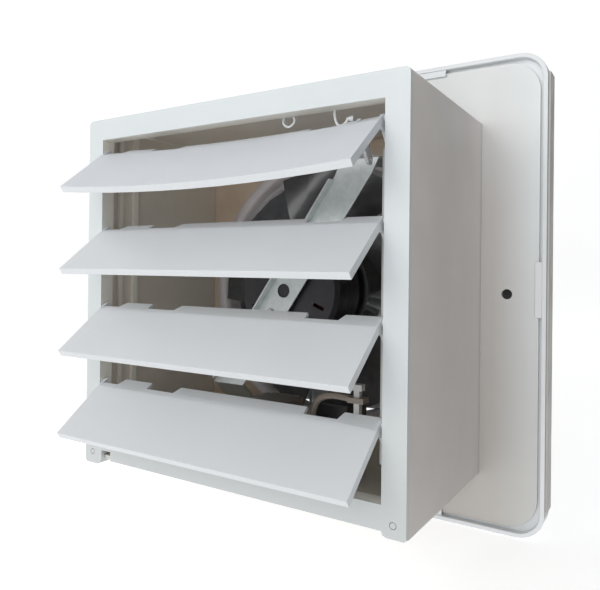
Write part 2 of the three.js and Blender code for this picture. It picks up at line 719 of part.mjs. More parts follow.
const CRANK_INNER = CRANK_PIN[0] + ARM_EYE / 2 + SEAT;
const CRANK_X = [CRANK_INNER, CRANK_INNER + CRANK_THICK];
const CRANK_AXIS = [CRANK_PIN[1] - ARM_OFFSET[0], CRANK_PIN[2] - ARM_OFFSET[1]];
const ACTUATOR_GAP = 3; // between the crank and the actuator
const SHAFT_INSET = 7; // from the actuator's front and top to its shaft
const ACTUATOR_X = [CRANK_X[1] + ACTUATOR_GAP, CRANK_X[1] + ACTUATOR_GAP + ACTUATOR[0]];
const ACTUATOR_Y = [CRANK_AXIS[0] + SHAFT_INSET - ACTUATOR[1], CRANK_AXIS[0] + SHAFT_INSET];
const ACTUATOR_Z = [CRANK_AXIS[1] + SHAFT_INSET - ACTUATOR[2], CRANK_AXIS[1] + SHAFT_INSET];
const BRACKET_Y = ACTUATOR_Y[0] - SEAT - BRACKET_THICK;
const BRACKET_X = around((ACTUATOR_X[0] + ACTUATOR_X[1]) / 2, BRACKET_WIDTH);
const bracketScrews = [-1, 1].map((side) => [
  (BRACKET_X[0] + BRACKET_X[1]) / 2 + (side * BRACKET_WIDTH) / 4,
  BRACKET_Y - BRACKET_FOOT / 2,
]);

function crank() {
  const [pinAtY, pinAtZ] = [CRANK_PIN[1], CRANK_PIN[2]];
  const direction = new THREE.Vector2(pinAtY - CRANK_AXIS[0], pinAtZ - CRANK_AXIS[1]).normalize();
  const side = new THREE.Vector2(-direction.y, direction.x);
  const corner = (at, across) => [at[0] + side.x * across, at[1] + side.y * across];
  const web = drawnX(
    [
      corner(CRANK_AXIS, CRANK_HUB_R * 0.8),
      corner([pinAtY, pinAtZ], CRANK_EYE_R * 0.8),
      corner([pinAtY, pinAtZ], -CRANK_EYE_R * 0.8),
      corner(CRANK_AXIS, -CRANK_HUB_R * 0.8),
    ],
    CRANK_X,
  );
  const hub = pinX(CRANK_HUB_R, CRANK_X, CRANK_AXIS);
  const eye = pinX(CRANK_EYE_R, CRANK_X, [pinAtY, pinAtZ]);
  const shaft = pinX(CRANK_SHAFT_R, [CRANK_X[1] - BITE, ACTUATOR_X[0] + 8], CRANK_AXIS);
  const hole = pinX(PEG_HOLE_R, [CRANK_X[0] - 1, CRANK_X[1] + 1], [pinAtY, pinAtZ]);
  return cut(join(web, hub, eye, shaft), hole);
}

function actuatorBody() {
  const shell = box(ACTUATOR_X, ACTUATOR_Y, ACTUATOR_Z);
  const nose = pinX(CRANK_HUB_R + 1, [ACTUATOR_X[0] - 2, ACTUATOR_X[0] + BITE], CRANK_AXIS);
  const shaftHole = pinX(CRANK_SHAFT_R + RUN, [ACTUATOR_X[0] - 3, ACTUATOR_X[0] + 9], CRANK_AXIS);
  return cut(join(shell, nose), shaftHole);
}

function actuatorBracket() {
  const floor = -DUCT_INNER + SEAT;
  const upright = box(BRACKET_X, [BRACKET_Y, BRACKET_Y + BRACKET_THICK], [floor, ACTUATOR_Z[1]]);
  const foot = box(
    BRACKET_X,
    [BRACKET_Y - BRACKET_FOOT, BRACKET_Y + BITE],
    [floor, floor + BRACKET_THICK],
  );
  const shelf = box(
    BRACKET_X,
    [BRACKET_Y + BITE, ACTUATOR_Y[1] - 2],
    [ACTUATOR_Z[0] - SEAT - BRACKET_THICK, ACTUATOR_Z[0] - SEAT],
  );
  const holes = bracketScrews.map((at) =>
    pinZ(SCREW_HOLE_R, [floor - 1, floor + BRACKET_THICK + 1], at, 8),
  );
  return cut(join(upright, foot, shelf), ...holes);
}

// ---- Orifice plate ----
const cornerScrews = [
  [1, 1],
  [-1, 1],
  [-1, -1],
  [1, -1],
].map((signs) => signs.map((sign) => sign * (DUCT_INNER - SCREW_HEAD_R - 1)));

function orificePlate() {
  const plate = drawnY(
    roundedSquare(DUCT_INNER - SEAT, 1, 2),
    [ORIFICE_Y, ORIFICE_BACK],
    [circle(BELL_R - 1, ORIFICE_SIDES)],
  );
  const end = ORIFICE_BACK - BELL_FLARE - THROAT_LENGTH;
  // A quarter turn from the plate in to the throat, [inwards, back] wide, starting at height y.
  const curve = (inwards, back, y) =>
    [...Array(BELL_STEPS + 1).keys()].map((i) => {
      const turn = ((i / BELL_STEPS) * Math.PI) / 2;
      return [BELL_R - inwards * Math.sin(turn), y - back * (1 - Math.cos(turn))];
    });
  const air = curve(BELL_FLARE, BELL_FLARE, ORIFICE_BACK);
  const outer = curve(BELL_FLARE - THROAT_WALL, BELL_FLARE - ORIFICE_THICK, ORIFICE_Y);
  const bell = turned(
    [...air, [THROAT_R, end], [THROAT_R + THROAT_WALL, end], ...outer.reverse()],
    ORIFICE_SIDES,
  );
  const holes = [
    ...cornerScrews.map((at) => pinY(SCREW_HOLE_R, [ORIFICE_Y - 1, ORIFICE_BACK + 1], at, 8)),
    ...strapScrews.map((at) => pinY(SCREW_HOLE_R, [ORIFICE_Y - 1, ORIFICE_BACK + 1], at, 8)),
  ];
  return cut(join(plate, bell), ...holes);
}

function circle(r, sides) {
  return [...Array(sides).keys()].map((i) => {
    const angle = (2 * Math.PI * i) / sides;
    return [r * Math.cos(angle), r * Math.sin(angle)];
  });
}

// ---- Strap ----
const STRAP_ANGLE = THREE.MathUtils.degToRad(STRAP_TILT);
const alongStrap = (r, across = 0) => [
  r * Math.cos(STRAP_ANGLE) + across * Math.sin(STRAP_ANGLE),
  r * Math.sin(STRAP_ANGLE) - across * Math.cos(STRAP_ANGLE),
];
// The point of the strap at height z, by how far it lies to the +X side of the middle line.
const strapAt = (z, across = 0) =>
  alongStrap((z + across * Math.cos(STRAP_ANGLE)) / Math.sin(STRAP_ANGLE), across);

const STRAP_FOOT_Y = ORIFICE_BACK + SEAT;
const STRAP_FLOOR = -DUCT_INNER + SEAT + 1;
const strapLean = Math.tan(THREE.MathUtils.degToRad(STRAP_LEAN));
const STRAP_TOP_Y = STRAP_Y + (STRAP_TOP - STRAP_BENDS[1]) * strapLean;
const strapScrews = [
  strapAt(STRAP_FLOOR + STRAP_TOE / 2),
  [strapAt(STRAP_TOP)[0] - STRAP_SHIFT, STRAP_TOP + (STRAP_HEEL - STRAP_THICK) / 2 + 1],
];

// The outline of a bent sheet, from the [y, z] points of one face, with its thickness outdoors.
function bentSheet(face, thick) {
  const normals = face.slice(1).map(([y, z], i) => {
    const length = Math.hypot(y - face[i][0], z - face[i][1]);
    return [(z - face[i][1]) / length, (face[i][0] - y) / length];
  });
  const other = face.map(([y, z], i) => {
    const a = normals[Math.max(i - 1, 0)];
    const b = normals[Math.min(i, normals.length - 1)];
    const reach = thick / (1 + a[0] * b[0] + a[1] * b[1]);
    return [y + (a[0] + b[0]) * reach, z + (a[1] + b[1]) * reach];
  });
  return [...face, ...other.reverse()];
}

// The level shelf at the strap's top, slanting back to a foot on the orifice plate.
function strapShelf() {
  const half = STRAP_WIDTH / 2;
  const [left, right] = [strapAt(STRAP_TOP, -half)[0], strapAt(STRAP_TOP, half)[0]];
  const outline = [
    [left, STRAP_TOP_Y],
    [right, STRAP_TOP_Y],
    [right - STRAP_SHIFT, STRAP_FOOT_Y],
    [left - STRAP_SHIFT, STRAP_FOOT_Y],
  ];
  const shelf = drawnY(outline.map(([x, y]) => [x, -y]), [STRAP_TOP - STRAP_THICK, STRAP_TOP]);
  const foot = box(
    [left - STRAP_SHIFT, right - STRAP_SHIFT],
    [STRAP_FOOT_Y, STRAP_FOOT_Y + STRAP_THICK],
    [STRAP_TOP - STRAP_THICK, STRAP_TOP + STRAP_HEEL],
  );
  return join(shelf.rotateX(Math.PI / 2), foot);
}

// Bent along level lines from a wide sheet, and trimmed to a tilted strip.
function motorStrap() {
  const half = STRAP_WIDTH / 2;
  const [low, high] = STRAP_BENDS;
  const profile = bentSheet(
    [
      [STRAP_FOOT_Y, STRAP_FLOOR],
      [STRAP_FOOT_Y, STRAP_FLOOR + STRAP_TOE],
      [STRAP_Y, low],
      [STRAP_Y, high],
      [STRAP_TOP_Y, STRAP_TOP],
    ],
    STRAP_THICK,
  );
  const sheet = drawnX(profile, [-DUCT_INNER, DUCT_INNER]);
  const strip = [
    alongStrap(-2 * DUCT_HALF, -half),
    alongStrap(2 * DUCT_HALF, -half),
    alongStrap(2 * DUCT_HALF, half),
    alongStrap(-2 * DUCT_HALF, half),
  ];
  const band = inside(sheet, drawnY(strip, [LEDGE_FRONT, FACE_Y]));
  const flangeEnds = [low + 3, high - 3];
  const flange = drawnY(
    [
      strapAt(flangeEnds[0], half - STRAP_THICK),
      strapAt(flangeEnds[0], half),
      strapAt(flangeEnds[1], half),
      strapAt(flangeEnds[1], half - STRAP_THICK),
    ],
    [STRAP_BACK - BITE, STRAP_Y + STRAP_FLANGE],
  );
  const holes = [
    pinY(STRAP_HOLE_R, [STRAP_Y - 1, STRAP_BACK + 1]),
    ...[1, -1].map((s) =>
      pinY(SCREW_HOLE_R, [STRAP_Y - 1, STRAP_BACK + 1], alongStrap(s * MOTOR_SCREW_AT), 8),
    ),
    ...strapScrews.map((at) =>
      pinY(SCREW_HOLE_R, [STRAP_FOOT_Y - 1, STRAP_FOOT_Y + STRAP_THICK + 1], at, 8),
    ),
  ];
  return cut(join(band, flange, strapShelf()), ...holes);
}

// ---- Motor ----
const BOSS_R = 4;
const REAR_BOSS_R = STRAP_HOLE_R - RUN;
const ventAngles = [...Array(VENT_COUNT).keys()].map((i) => (2 * Math.PI * i) / VENT_COUNT);

function shellVents(from, to) {
  return ventAngles.map((angle) =>
    box([24, MOTOR_R - 9], [from, to], [-1.3, 1.3]).rotateY(angle + Math.PI / VENT_COUNT),
  );
}

function motorRearShell() {
  const split = MOTOR_MID + SEAT / 2;
  const pocket = BEARING_R + SEAT;
  const shell = turned([
    [0, MOTOR_BACK],
    [MOTOR_R - 3, MOTOR_BACK],
    [MOTOR_R, MOTOR_BACK - 3],
    [MOTOR_R, split],
    [MOTOR_R - MOTOR_WALL, split],
    [MOTOR_R - MOTOR_WALL, MOTOR_BACK - 4],
    [MOTOR_R - MOTOR_WALL - 2, MOTOR_BACK - MOTOR_WALL],
    [pocket + 2, MOTOR_BACK - MOTOR_WALL],
    [pocket + 2, MOTOR_BACK - MOTOR_WALL - BEARING_WIDTH],
    [pocket, MOTOR_BACK - MOTOR_WALL - BEARING_WIDTH],
    [pocket, MOTOR_BACK - MOTOR_WALL],
    [0, MOTOR_BACK - MOTOR_WALL],
  ]);
  const bosses = [1, -1].map((s) =>
    pinY(BOSS_R, [MOTOR_BACK - BITE, STRAP_Y - SEAT], alongStrap(s * MOTOR_SCREW_AT), 12),
  );
  const nose = pinY(REAR_BOSS_R, [MOTOR_BACK - BITE, STRAP_Y + STRAP_THICK / 2], [0, 0], 24);
  const holes = [1, -1].map((s) =>
    pinY(SCREW_HOLE_R, [MOTOR_BACK - 3, STRAP_Y], alongStrap(s * MOTOR_SCREW_AT), 8),
  );
  return cut(join(shell, ...bosses, nose), ...holes, ...shellVents(MOTOR_BACK - 3, MOTOR_BACK + 1));
}

function motorFrontShell() {
  const split = MOTOR_MID - SEAT / 2;
  const pocket = BEARING_R + SEAT;
  const bore = SHAFT_R + 1;
  const shell = turned([
    [bore, MOTOR_FRONT],
    [MOTOR_R - 3, MOTOR_FRONT],
    [MOTOR_R, MOTOR_FRONT + 3],
    [MOTOR_R, split],
    [MOTOR_R - MOTOR_WALL, split],
    [MOTOR_R - MOTOR_WALL, MOTOR_FRONT + 4],
    [MOTOR_R - MOTOR_WALL - 2, MOTOR_FRONT + MOTOR_WALL],
    [pocket + 2, MOTOR_FRONT + MOTOR_WALL],
    [pocket + 2, MOTOR_FRONT + MOTOR_WALL + BEARING_WIDTH],
    [pocket, MOTOR_FRONT + MOTOR_WALL + BEARING_WIDTH],
    [pocket, MOTOR_FRONT + MOTOR_WALL],
    [bore, MOTOR_FRONT + MOTOR_WALL],
  ]);
  return cut(shell, ...shellVents(MOTOR_FRONT - 1, MOTOR_FRONT + 3));
}

const statorY = around(MOTOR_MID, STATOR_WIDTH);

function statorCore() {
  const yoke = 6;
  const outer = MOTOR_R - MOTOR_WALL - SEAT;
  const bore = ROTOR_R + ROTOR_GAP;
  const slots = [...Array(STATOR_TEETH).keys()].map((i) =>
    box([bore + 3, outer - yoke], [statorY[0] - 1, statorY[1] + 1], [-4, 4]).rotateY(
      (2 * Math.PI * i) / STATOR_TEETH,
    ),
  );
  const ring = turned(
    [
      [bore, statorY[0]],
      [outer, statorY[0]],
      [outer, statorY[1]],
      [bore, statorY[1]],
    ],
    32,
  );
  return cut(ring, ...slots);
}

const ringY = ([inner, outer], [y0, y1], sides = 24) =>
  turned(
    [
      [inner, y0],
      [outer, y0],
      [outer, y1],
      [inner, y1],
    ],
    sides,
  );

// End turns of the winding, a rounded ring against one face of the core.
function winding(face, out) {
  const [inner, outer] = WINDING_R;
  const base = face + out * SEAT;
  const crown = base + out * WINDING_DEPTH;
  const ring = turned(
    [
      [inner, base],
      [outer, base],
      [outer, crown - out * 2],
      [outer - 2, crown],
      [inner + 2, crown],
      [inner, crown - out * 2],
    ],
    20,
  );
  return join(ring);
}

const bearingY = {
  front: [MOTOR_FRONT + MOTOR_WALL + SEAT, MOTOR_FRONT + MOTOR_WALL + SEAT + BEARING_WIDTH],
  rear: [MOTOR_BACK - MOTOR_WALL - SEAT - BEARING_WIDTH, MOTOR_BACK - MOTOR_WALL - SEAT],
};

// ---- Impeller ----
const HUB_FACE = HUB_WALL; // thickness of the hub's closed end
const NUT_Y = [HUB_FRONT - SEAT - NUT_DEPTH, HUB_FRONT - SEAT];

// One blade as a twisted plate, its root sunk into the hub.
function bladeGeometry() {
  const rows = 5;
  const columns = 6;
  const points = [];
  const rootR = HUB_R - HUB_WALL / 2;
  for (const face of [-1, 1]) {
    for (let i = 0; i < rows; i++) {
      const out = i / (rows - 1);
      const radius = rootR + (BLADE_R - rootR) * out;
      const depth = THREE.MathUtils.lerp(BLADE_ROOT_DEPTH, BLADE_TIP_DEPTH, out) - BLADE_THICK;
      const middleY = HUB_FRONT + BLADE_SET;
      for (let j = 0; j < columns; j++) {
        const across = j / (columns - 1) - 0.5;
        const share = THREE.MathUtils.lerp(BLADE_ROOT_SHARE, 1, out);
        const turn = BLADE_SPAN * share * across - BLADE_SWEEP * out - BLADE_PHASE;
        const angle = THREE.MathUtils.degToRad(turn);
        const cup = 3 * (1 - (2 * across) ** 2);
        const y = middleY + across * depth + cup - 1.5 + (face * BLADE_THICK) / 2;
        points.push(radius * Math.cos(angle), y, -radius * Math.sin(angle));
      }
    }
  }
  const at = (face, i, j) => face * rows * columns + i * columns + j;
  const index = [];
  const quad = (a, b, c, d) => index.push(a, b, c, a, c, d);
  for (let i = 0; i < rows - 1; i++) {
    for (let j = 0; j < columns - 1; j++) {
      quad(at(0, i, j), at(0, i, j + 1), at(0, i + 1, j + 1), at(0, i + 1, j));
      quad(at(1, i, j), at(1, i + 1, j), at(1, i + 1, j + 1), at(1, i, j + 1));
    }
  }
  for (let i = 0; i < rows - 1; i++) {
    quad(at(0, i, 0), at(0, i + 1, 0), at(1, i + 1, 0), at(1, i, 0));
    const last = columns - 1;
    quad(at(0, i + 1, last), at(0, i, last), at(1, i, last), at(1, i + 1, last));
  }
  for (let j = 0; j < columns - 1; j++) {
    quad(at(0, 0, j + 1), at(0, 0, j), at(1, 0, j), at(1, 0, j + 1));
    quad(at(0, rows - 1, j), at(0, rows - 1, j + 1), at(1, rows - 1, j + 1), at(1, rows - 1, j));
  }
  return new THREE.BufferGeometry()
    .setAttribute("position", new THREE.Float32BufferAttribute(points, 3))
    .setIndex(index);
}

function impeller() {
  const bore = SHAFT_R + SEAT;
  const back = HUB_FRONT + HUB_DEPTH;
  const hub = turned([
    [bore, HUB_FRONT],
    [HUB_R - 8, HUB_FRONT],
    [HUB_R - 2, HUB_FRONT + 3],
    [HUB_R, HUB_FRONT + 8],
    [HUB_R, back],
    [HUB_R - HUB_WALL, back],
    [HUB_R - HUB_WALL, HUB_FRONT + 8],
    [HUB_R - HUB_WALL - 6, HUB_FRONT + HUB_FACE + 1],
    [bore + 5, HUB_FRONT + HUB_FACE],
    [bore + 4, HUB_FRONT + HUB_FACE + 18],
    [bore, HUB_FRONT + HUB_FACE + 18],
  ]);
  const blades = [...Array(BLADE_COUNT).keys()].map((i) =>
    bladeGeometry().rotateY((2 * Math.PI * i) / BLADE_COUNT),
  );
  return join(hub, ...blades);
}

function impellerNut() {
  const hex = pinY(NUT_R, [NUT_Y[0] + 2, NUT_Y[1]], [0, 0], 6);
  const dome = turned(
    [
      [0, NUT_Y[0]],
      [NUT_R * 0.5, NUT_Y[0] + 0.6],
      [NUT_R * 0.8, NUT_Y[0] + 2.5],
      [0, NUT_Y[0] + 2.5],
    ],
    24,
  );
  const bore = pinY(SHAFT_R * 0.75 + SEAT, [NUT_Y[0] + 2, NUT_Y[1] + 1], [0, 0], 20);
  return cut(join(hex, dome), bore);
}

function motorShaft() {
  const rear = bearingY.rear[1] - 1;
  return turned(
    [
      [0, NUT_Y[0] + 2 + SEAT],
      [SHAFT_R * 0.75, NUT_Y[0] + 2 + SEAT],
      [SHAFT_R * 0.75, HUB_FRONT - SEAT / 2],
      [SHAFT_R, HUB_FRONT],
      [SHAFT_R, rear],
      [0, rear],
    ],
    24,
  );
}

// ---- Front cover ----
const COVER_FRONT = -COVER_DEPTH;

function frontCover() {
  const wall = COVER_WALL;
  const inner = COVER_HALF - wall;
  const ledgeY = PLATE_FRONT - SEAT;
  const shell = squareSweep([
    [COVER_HALF, COVER_CORNER, 0],
    [COVER_HALF, COVER_CORNER, -COVER_SIDE],
    [COVER_HALF - COVER_SHOULDER[0], COVER_CORNER - 1, -COVER_SIDE - COVER_SHOULDER[1]],
    [COVER_FRONT_HALF + 4, COVER_CORNER - 5, COVER_FRONT + 4],
    [COVER_FRONT_HALF, COVER_CORNER - 6, COVER_FRONT + 1],
    [COVER_FRONT_HALF - 5, COVER_CORNER - 8, COVER_FRONT],
    [COVER_WINDOW_HALF, 3, COVER_FRONT],
    [COVER_WINDOW_HALF, 3, COVER_FRONT + wall],
    [COVER_FRONT_HALF - 6, COVER_CORNER - 10, COVER_FRONT + wall],
    [inner - 4, COVER_CORNER - 6, -COVER_SIDE - COVER_SHOULDER[1] - 1],
    [inner - COVER_LEDGE, COVER_CORNER - 5, ledgeY - COVER_LEDGE_THICK],
    [inner - COVER_LEDGE, COVER_CORNER - 5, ledgeY],
    [inner, COVER_CORNER - wall, ledgeY],
    [inner, COVER_CORNER - wall, 0],
  ]);
  const snapY = [PLATE_Y + SEAT, -1];
  const reach = [inner - SNAP_INSET, inner + BITE];
  const middles = [-SNAP_TOP_X, SNAP_TOP_X];
  const snaps = [
    box(reach, snapY, SNAP_SIDE),
    box([-reach[1], -reach[0]], snapY, SNAP_SIDE),
    ...middles.map((x) => box(around(x, 2 * SNAP_HALF), snapY, reach)),
    ...middles.map((x) => box(around(x, 2 * SNAP_HALF), snapY, [-reach[1], -reach[0]])),
  ];
  const ribX = [COVER_HALF - BITE, COVER_HALF + COVER_RIB];
  const ribs = [
    box(ribX, COVER_RIB_Y, COVER_RIB_Z),
    box([-ribX[1], -ribX[0]], COVER_RIB_Y, COVER_RIB_Z),
  ];
  return join(shell, ...snaps, ...ribs);
}

// ---- Grille ----
function frontGrille() {
  const outer = COVER_WINDOW_HALF - SEAT;
  const frontY = COVER_FRONT - SEAT;
  const ring = drawnY(
    roundedSquare(outer, 2.5, 2),
    [frontY - BITE, frontY + GRILLE_DEPTH],
    [roundedSquare(outer - GRILLE_BAR, 2, 2)],
  );
  const lip = squareSweep(
    [
      [outer + GRILLE_LIP, 5, frontY],
      [outer + GRILLE_LIP, 5, frontY - GRILLE_FACE + 1],
      [outer + GRILLE_LIP - 1, 4, frontY - GRILLE_FACE],
      [outer - GRILLE_BAR, 2, frontY - GRILLE_FACE],
      [outer - GRILLE_BAR, 2, frontY],
    ],
    3,
  );
  const slats = [];
  const room = outer - GRILLE_BAR;
  const count = Math.floor((2 * room - SLAT_CHORD / 2) / SLAT_PITCH);
  for (let i = 0; i < count; i++) {
    const z = (i - (count - 1) / 2) * SLAT_PITCH;
    slats.push(
      box([-room - BITE, room + BITE], around(0, SLAT_CHORD), around(0, SLAT_THICK))
        .rotateX(THREE.MathUtils.degToRad(SLAT_TILT))
        .translate(0, frontY + GRILLE_DEPTH / 2 - 1, z),
    );
  }
  const mullionY = [frontY + 4, frontY + GRILLE_DEPTH];
  const mullions = [-1, 1].map((i) =>
    box(around((i * room) / 3, MULLION_THICK), mullionY, [-room - BITE, room + BITE]),
  );
  return join(ring, lip, ...slats, ...mullions);
}

// ---- Wiring ----
const WIRING_BACK = LEDGE_FRONT - SEAT;
const WIRING_FRONT = WIRING_BACK - WIRING_BOX[1];
const wiringX = around(WIRING_AT[0], WIRING_BOX[0]);
const wiringZ = around(WIRING_AT[1], WIRING_BOX[2]);

function wiringBox() {
  const [x0, x1] = wiringX;
  const [z0, z1] = wiringZ;
  const w = WIRING_WALL;
  const shell = box(wiringX, [WIRING_FRONT, WIRING_BACK], wiringZ);
  const hollow = box([x0 + w, x1 - w], [WIRING_FRONT - 1, WIRING_BACK - w], [z0 + w, z1 - w]);
  const hole = pinY(GROMMET_R, [WIRING_BACK - w - 1, WIRING_BACK + 1], WIRING_AT);
  return cut(shell, hollow, hole);
}

function wiringLid() {
  const y = WIRING_FRONT - SEAT;
  const w = WIRING_WALL + SEAT;
  const cap = box(wiringX, [y - 1.8, y], wiringZ);
  const plug = box(
    [wiringX[0] + w, wiringX[1] - w],
    [y - BITE, y + 2],
    [wiringZ[0] + w, wiringZ[1] - w],
  );
  return join(cap, plug);
}

// A bush in the plate's and the box's cable hole, flanged on the wall side.
function cableGrommet() {
  const outer = GROMMET_R - SEAT;
  const back = PLATE_Y + SEAT;
  const front = WIRING_BACK - WIRING_WALL;
  return turned(
    [
      [outer - 1.5, front],
      [outer, front],
      [outer, back],
      [outer + 2.5, back],
      [outer + 2, back + 1.5],
      [outer - 1.5, back + 1.5],
    ],
    24,
  ).translate(WIRING_AT[0], 0, WIRING_AT[1]);
}

function runCapacitor() {
  const floor = -DUCT_INNER + SEAT;
  return box(
    around(CAPACITOR_AT[0], CAPACITOR[0]),
    around(CAPACITOR_AT[1], CAPACITOR[1]),
    [floor, floor + CAPACITOR[2]],
  );
}

// ---- Two thin plastic hooks under the top rail ----
const HOOK_Y = FACE_Y - RETURN_DEPTH - SEAT;
const hookPad = ([x0, x1]) =>
  box([x0, x1], [HOOK_Y - HOOK_PAD[0], HOOK_Y], [OPENING_TOP + SEAT, OPENING_TOP + HOOK_PAD[1]]);

// A wire through [x, drop] points, with each drop measured down from the top of the opening.
function hookWire(points) {
  const y = HOOK_Y - HOOK_PAD[0] / 2;
  const route = new THREE.CatmullRomCurve3(
    points.map(([x, drop]) => new THREE.Vector3(x, y, OPENING_TOP - drop)),
  );
  const section = new THREE.Shape().absarc(0, 0, HOOK_R, 0, 2 * Math.PI);
  return new THREE.ExtrudeGeometry(section, { steps: 10, curveSegments: 3, extrudePath: route });
}

function hookLoop() {
  const half = HOOK_LOOP[0] / 2;
  const drop = HOOK_LOOP[1];
  const wire = hookWire([
    [HOOK_LOOP_X + half * 0.8, -1],
    [HOOK_LOOP_X + half, drop * 0.5],
    [HOOK_LOOP_X, drop],
    [HOOK_LOOP_X - half, drop * 0.5],
    [HOOK_LOOP_X - half * 0.8, -1],
  ]);
  return join(wire, hookPad(around(HOOK_LOOP_X, HOOK_LOOP[0] + 2)));
}

function hookClip() {
  const [reach, drop] = HOOK_CLIP;
  const wire = hookWire([
    [HOOK_CLIP_X, -1],
    [HOOK_CLIP_X - reach * 0.05, drop / 2],
    [HOOK_CLIP_X - reach * 0.3, drop],
    [HOOK_CLIP_X - reach * 0.7, drop * 0.95],
    [HOOK_CLIP_X - reach, drop * 0.6],
  ]);
  const tip = new THREE.ConeGeometry(2, 4, 10)
    .rotateZ(-Math.PI / 4)
    .translate(HOOK_CLIP_X - reach, HOOK_Y - HOOK_PAD[0] / 2, OPENING_TOP - drop * 0.6);
  return join(wire, hookPad(around(HOOK_CLIP_X, 4)), tip);
}

// ---- Assembly ----
add("body_frame", bodyFrame(), WHITE);
add("shutter_frame", shutterFrame(), WHITE);
addLouvres();
add("link_rod", linkRod(), ROD_GREY);
add("drive_stem", driveStem(), ROD_GREY);
add("link_arm", linkArm(), BEIGE);
add("actuator_crank", crank(), ZINC);
add("actuator_body", actuatorBody(), BROWN);
add("actuator_bracket", actuatorBracket(), BROWN);
add("orifice_plate", orificePlate(), ZINC);
add("impeller", impeller(), BLADE_GREY);
add("impeller_nut", impellerNut(), BLACK);
add("motor_shaft", motorShaft(), STEEL);
add("rotor_core", ringY([SHAFT_R + SEAT, ROTOR_R], statorY), LAMINATION);
add("motor_front_shell", motorFrontShell(), BLACK);
add("motor_rear_shell", motorRearShell(), BLACK);
add("stator_core", statorCore(), LAMINATION);
add("winding_front", winding(statorY[0], -1), COPPER);
add("winding_rear", winding(statorY[1], 1), COPPER);
add("front_bearing", ringY([SHAFT_R + SEAT, BEARING_R], bearingY.front, 16), STEEL);
add("rear_bearing", ringY([SHAFT_R + SEAT, BEARING_R], bearingY.rear, 16), STEEL);
add("motor_strap", motorStrap(), ZINC);
add("front_cover", frontCover(), WHITE);
add("front_grille", frontGrille(), WHITE);
add("wiring_box", wiringBox(), WHITE);
add("wiring_lid", wiringLid(), WHITE);
add("cable_grommet", cableGrommet(), RUBBER);
add("run_capacitor", runCapacitor(), BLACK);
add("hook_loop", hookLoop(), WHITE);
add("hook_clip", hookClip(), WHITE);

frameScrews.forEach(([x, z], i) => {
  const shape = screwY(FRAME_SCREW_SHANK, FRAME_SCREW_HEAD_R, FRAME_SCREW_R);
  add(`frame_screw_${i + 1}`, shape, STEEL).position.set(x, FACE_Y - SCREW_HEAD, z);
});
cornerScrews.forEach(([x, z], i) =>
  add(`orifice_screw_${i + 1}`, screwY(ORIFICE_THICK + PLATE_THICK), STEEL).position.set(
    x,
    ORIFICE_BACK + SEAT,
    z,
  ),
);
strapScrews.forEach(([x, z], i) => {
  const screw = add(`strap_screw_${i + 1}`, screwY(STRAP_THICK + ORIFICE_THICK), STEEL);
  screw.position.set(x, STRAP_FOOT_Y + STRAP_THICK + SEAT, z);
});
[1, -1].forEach((s, i) => {
  const [x, z] = alongStrap(s * MOTOR_SCREW_AT);
  add(`motor_screw_${i + 1}`, screwY(STRAP_THICK + STRAP_STANDOFF), STEEL).position.set(
    x,
    STRAP_BACK + SEAT,
    z,
  );
});
bracketScrews.forEach(([x, y], i) => {
  const screw = add(`bracket_screw_${i + 1}`, screwY(BRACKET_THICK + DUCT_WALL), STEEL);
  screw.rotation.x = Math.PI / 2;
  screw.position.set(x, y, -DUCT_INNER + 2 * SEAT + BRACKET_THICK);
});

export default part;
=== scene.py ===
"""Looks of the window exhaust fan: materials, softened edges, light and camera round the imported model."""
import math

import bpy
from mathutils import Matrix, Vector


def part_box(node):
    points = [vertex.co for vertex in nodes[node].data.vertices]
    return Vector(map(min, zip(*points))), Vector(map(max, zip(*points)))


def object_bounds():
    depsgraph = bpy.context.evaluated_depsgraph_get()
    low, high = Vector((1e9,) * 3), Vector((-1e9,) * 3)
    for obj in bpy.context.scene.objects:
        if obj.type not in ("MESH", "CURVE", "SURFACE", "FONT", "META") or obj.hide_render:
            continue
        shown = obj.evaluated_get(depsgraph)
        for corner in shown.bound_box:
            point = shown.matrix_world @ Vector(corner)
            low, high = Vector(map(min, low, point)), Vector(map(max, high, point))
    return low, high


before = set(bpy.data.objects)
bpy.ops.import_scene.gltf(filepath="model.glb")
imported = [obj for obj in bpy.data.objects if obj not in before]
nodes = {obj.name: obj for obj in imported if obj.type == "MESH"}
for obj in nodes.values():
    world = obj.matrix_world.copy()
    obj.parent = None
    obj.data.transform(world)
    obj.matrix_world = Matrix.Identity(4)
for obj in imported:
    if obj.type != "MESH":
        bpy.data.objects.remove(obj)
cad_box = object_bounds()

# ---- Places on the part, in metres. Y = 0 is the wall, +Y outdoors, +Z up, -X the photograph's right ----
DUCT_WALL = 0.0025
FRAME_STILE = 0.014
PLATE_RECESS = 0.003
COVER_BAND = 0.0015  # how far the raised bands stand out from the cover's side walls
SKIN = 0.0006  # how far a mask reaches past the face that it paints

DUCT_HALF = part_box("shutter_frame")[1].x
DUCT_INNER = DUCT_HALF - DUCT_WALL
OPENING_HALF = DUCT_HALF - FRAME_STILE
FACE_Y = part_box("shutter_frame")[1].y
PLATE_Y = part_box("front_cover")[1].y - PLATE_RECESS  # the plate's outdoor face
COVER_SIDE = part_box("front_cover")[1].x - COVER_BAND
FLOOR_Z = cad_box[0].z
OPENING = math.radians(53)  # the louvres' angle from hanging straight down, at rest

